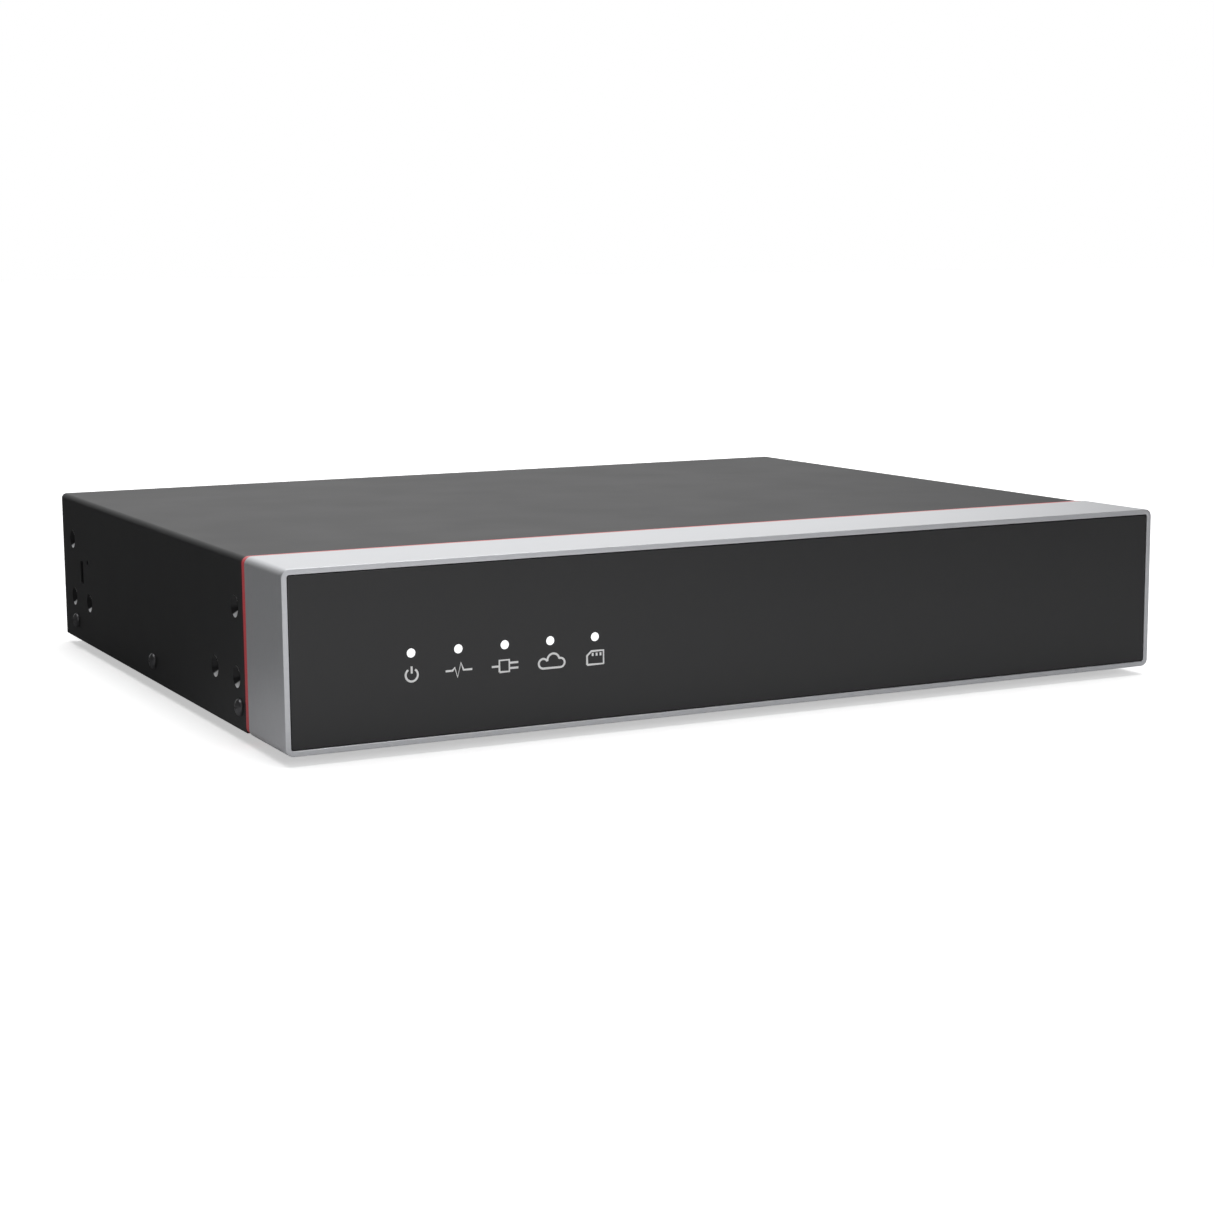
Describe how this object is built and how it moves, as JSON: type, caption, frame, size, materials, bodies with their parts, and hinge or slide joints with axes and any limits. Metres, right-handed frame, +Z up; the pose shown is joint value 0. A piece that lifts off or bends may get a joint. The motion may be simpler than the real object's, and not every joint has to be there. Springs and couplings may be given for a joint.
{
  "type": "video recorder",
  "caption": "Low desktop security video recorder: silver front frame with a black lamp panel, folded steel case, rear sockets, fan and hard drive inside.",
  "frame": {"origin": "on the table under the middle of the box that holds the recorder and its rear jacks", "axes": "+X to the right across the front, +Y to the rear, +Z up; the lamp panel faces -Y"},
  "size_m": [0.2574, 0.22, 0.0469],
  "materials": {
    "frame_silver": "fine brushed, satin",
    "panel_black": "satin black",
    "accent_red": "translucent-looking deep red",
    "cover_grey": "dark grey satin powder coat",
    "chassis_grey": "dark grey powder coat",
    "black_screw": "black passivated",
    "zinc_screw": "zinc plated",
    "rubber": "moulded matt black",
    "clear_plastic": "frosted light pipe",
    "lamp_white": "moulded lens",
    "circuit_board": "green solder mask",
    "black_plastic": "moulded black",
    "white_plastic": "moulded white",
    "blue_plastic": "moulded blue",
    "green_plastic": "moulded green",
    "nickel": "nickel plated",
    "tinned_steel": "tin-plated sheet",
    "gold_contact": "gold flashed",
    "cast_aluminium": "machined casting",
    "black_aluminium": "black anodised",
    "steel_sheet": "bright rolled",
    "magnet": "nickel-plated magnet",
    "lead_black": "lead jacket"
  },
  "bodies": {
    "recorder": {"front_frame": "frame_silver", "front_panel": "panel_black", "accent_strip": "accent_red", "top_cover": "cover_grey", "base_tray": "chassis_grey", "rubber_feet": "rubber", "foot_screws": "black_screw", "cover_screws": "black_screw", "inner_screws": "zinc_screw", "ground_screw": "nickel", "light_pipes": "clear_plastic", "led_lamps": "lamp_white", "led_board": "circuit_board", "fan_frame": "black_plastic", "fan_screws": "black_screw", "drive_bracket": "steel_sheet", "drive_screws": "zinc_screw", "drive_casting": "cast_aluminium", "drive_lid": "steel_sheet", "drive_board": "circuit_board", "drive_magnets": "magnet", "main_board": "circuit_board", "board_pillars": "tinned_steel", "board_chips": "black_plastic", "heatsink": "black_aluminium", "cell_holder": "black_plastic", "coin_cell": "tinned_steel", "capacitors": "cast_aluminium", "board_headers": "white_plastic", "board_leads": "lead_black", "drive_leads": "lead_black", "video_block": "black_plastic", "video_jacks": "nickel", "jack_insulators": "white_plastic", "centre_pins": "gold_contact", "audio_block": "black_plastic", "audio_sleeves": "nickel", "audio_inserts": "white_plastic", "monitor_shell": "tinned_steel", "monitor_insert": "blue_plastic", "monitor_pillars": "nickel", "screen_shell": "tinned_steel", "network_jack": "tinned_steel", "network_contacts": "gold_contact", "serial_shells": "tinned_steel", "port_tongues": "black_plastic", "card_reader": "tinned_steel", "power_inlet": "black_plastic", "switch_housing": "black_plastic", "terminal_socket": "green_plastic", "terminal_plug": "green_plastic", "terminal_screws": "zinc_screw", "reset_switch": "black_plastic"},
    "fan_wheel": {"fan_rotor": "black_plastic"},
    "rocker": {"switch_rocker": "black_plastic"},
    "reset": {"reset_button": "white_plastic"},
    "card": {"memory_card": "black_plastic"},
    "disc_stack": {"drive_discs": "nickel", "drive_hub": "cast_aluminium"},
    "head_arm": {"drive_arm": "cast_aluminium"}
  },
  "joints": [
    {"name": "fan_spin", "type": "hinge", "parent": "recorder", "child": "fan_wheel", "pos_m": [0.12, -0.022, 0.0247], "axis": [1, 0, 0], "continuous": true},
    {"name": "rocker_tip", "type": "hinge", "parent": "recorder", "child": "rocker", "pos_m": [0.117, 0.095, 0.024], "axis": [1, 0, 0], "range_deg": [0, 20]},
    {"name": "reset_press", "type": "slide", "parent": "recorder", "child": "reset", "axis": [0, -1, 0], "range_m": [0, 0.0004], "stiffness_N_per_m": 400},
    {"name": "card_slide", "type": "slide", "parent": "recorder", "child": "card", "axis": [0, 1, 0], "range_m": [-0.0006, 0.012]},
    {"name": "disc_spin", "type": "hinge", "parent": "recorder", "child": "disc_stack", "pos_m": [-0.0592, -0.0242, 0.02], "axis": [0, 0, 1], "continuous": true},
    {"name": "arm_swing", "type": "hinge", "parent": "recorder", "child": "head_arm", "pos_m": [-0.0022, -0.042, 0.02], "axis": [0, 0, 1], "range_deg": [0, 35]}
  ]
}
